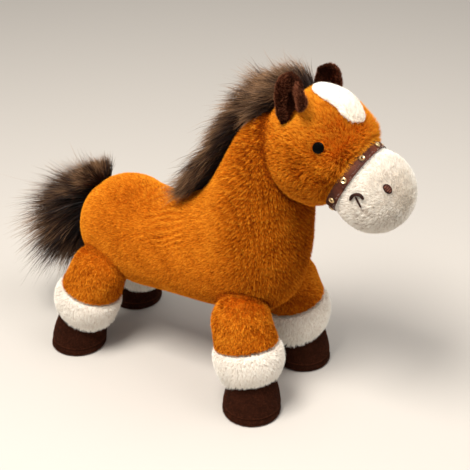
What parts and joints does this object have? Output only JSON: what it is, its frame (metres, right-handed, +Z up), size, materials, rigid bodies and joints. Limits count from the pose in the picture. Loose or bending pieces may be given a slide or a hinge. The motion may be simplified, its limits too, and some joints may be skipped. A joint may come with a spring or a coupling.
{
  "type": "plush horse",
  "caption": "Standing plush foal with a round head, white muzzle under a studded noseband, swept long-pile mane, bushy tail, white socks and dark hooves.",
  "frame": {"origin": "on the ground under the middle of the bounding box", "axes": "+X forwards towards the nose, +Y to the horse's left, +Z up"},
  "size_m": [0.3771, 0.1344, 0.28],
  "materials": {
    "caramel_plush": "short caramel brown pile, golden where it catches light",
    "white_plush": "short white pile",
    "chocolate_plush": "very short dark chocolate nap",
    "dark_long_pile": "long dark brown pile with paler tips",
    "brown_band": "smooth brown band with a soft sheen",
    "pale_gold": "polished pale gold",
    "black_bead": "glossy black",
    "white_washer": "plain moulded plastic",
    "brown_thread": "satin stitched thread"
  },
  "bodies": {
    "torso": {"body": "caramel_plush", "neck": "caramel_plush", "mane": "dark_long_pile"},
    "skull": {"head": "caramel_plush", "muzzle": "white_plush", "blaze": "white_plush", "noseband": "brown_band", "eyelet_1": "pale_gold", "eyelet_2": "pale_gold", "eyelet_3": "pale_gold", "eyelet_4": "pale_gold", "eyelet_5": "pale_gold", "eyelet_6": "pale_gold", "eyelet_7": "pale_gold", "eyelet_8": "pale_gold", "eyelet_9": "pale_gold", "eye_left": "black_bead", "eye_washer_left": "white_washer", "nostril_left": "brown_thread", "dimple_left": "brown_thread", "smile_left": "brown_thread", "eye_right": "black_bead", "eye_washer_right": "white_washer", "nostril_right": "brown_thread", "dimple_right": "brown_thread", "smile_right": "brown_thread"},
    "ear_left": {"ear_left": "chocolate_plush"},
    "ear_right": {"ear_right": "chocolate_plush"},
    "limb_front_left": {"leg_front_left": "caramel_plush", "sock_front_left": "white_plush", "hoof_front_left": "chocolate_plush", "sole_front_left": "chocolate_plush"},
    "limb_front_right": {"leg_front_right": "caramel_plush", "sock_front_right": "white_plush", "hoof_front_right": "chocolate_plush", "sole_front_right": "chocolate_plush"},
    "limb_rear_left": {"leg_rear_left": "caramel_plush", "sock_rear_left": "white_plush", "hoof_rear_left": "chocolate_plush", "sole_rear_left": "chocolate_plush"},
    "limb_rear_right": {"leg_rear_right": "caramel_plush", "sock_rear_right": "white_plush", "hoof_rear_right": "chocolate_plush", "sole_rear_right": "chocolate_plush"},
    "tuft": {"tail": "dark_long_pile"}
  },
  "joints": [
    {"name": "head_nod", "type": "hinge", "parent": "torso", "child": "skull", "pos_m": [0.11301, 0, 0.222], "axis": [0.0262, 0.9997, 0], "range_deg": [-10, 10], "stiffness_Nm_per_rad": 2},
    {"name": "ear_left_flop", "type": "hinge", "parent": "skull", "child": "ear_left", "pos_m": [0.1045, 0.02792, 0.25422], "axis": [0.0262, 0.9997, 0], "range_deg": [-15, 15], "stiffness_Nm_per_rad": 0.05},
    {"name": "ear_right_flop", "type": "hinge", "parent": "skull", "child": "ear_right", "pos_m": [0.10305, -0.02744, 0.25422], "axis": [0.0262, 0.9997, 0], "range_deg": [-15, 15], "stiffness_Nm_per_rad": 0.05},
    {"name": "leg_front_left_swing", "type": "hinge", "parent": "torso", "child": "limb_front_left", "pos_m": [0.07148, 0.03702, 0.07703], "axis": [0, 1, 0], "range_deg": [-12, 12], "stiffness_Nm_per_rad": 1},
    {"name": "leg_front_right_swing", "type": "hinge", "parent": "torso", "child": "limb_front_right", "pos_m": [0.07148, -0.03702, 0.07703], "axis": [0, 1, 0], "range_deg": [-12, 12], "stiffness_Nm_per_rad": 1},
    {"name": "leg_rear_left_swing", "type": "hinge", "parent": "torso", "child": "limb_rear_left", "pos_m": [-0.06792, 0.03702, 0.07703], "axis": [0, 1, 0], "range_deg": [-12, 12], "stiffness_Nm_per_rad": 1},
    {"name": "leg_rear_right_swing", "type": "hinge", "parent": "torso", "child": "limb_rear_right", "pos_m": [-0.06792, -0.03702, 0.07703], "axis": [0, 1, 0], "range_deg": [-12, 12], "stiffness_Nm_per_rad": 1},
    {"name": "tail_swing", "type": "hinge", "parent": "torso", "child": "tuft", "pos_m": [-0.10673, 0, 0.11466], "axis": [0, 1, 0], "range_deg": [-12, 12], "stiffness_Nm_per_rad": 0.3}
  ]
}
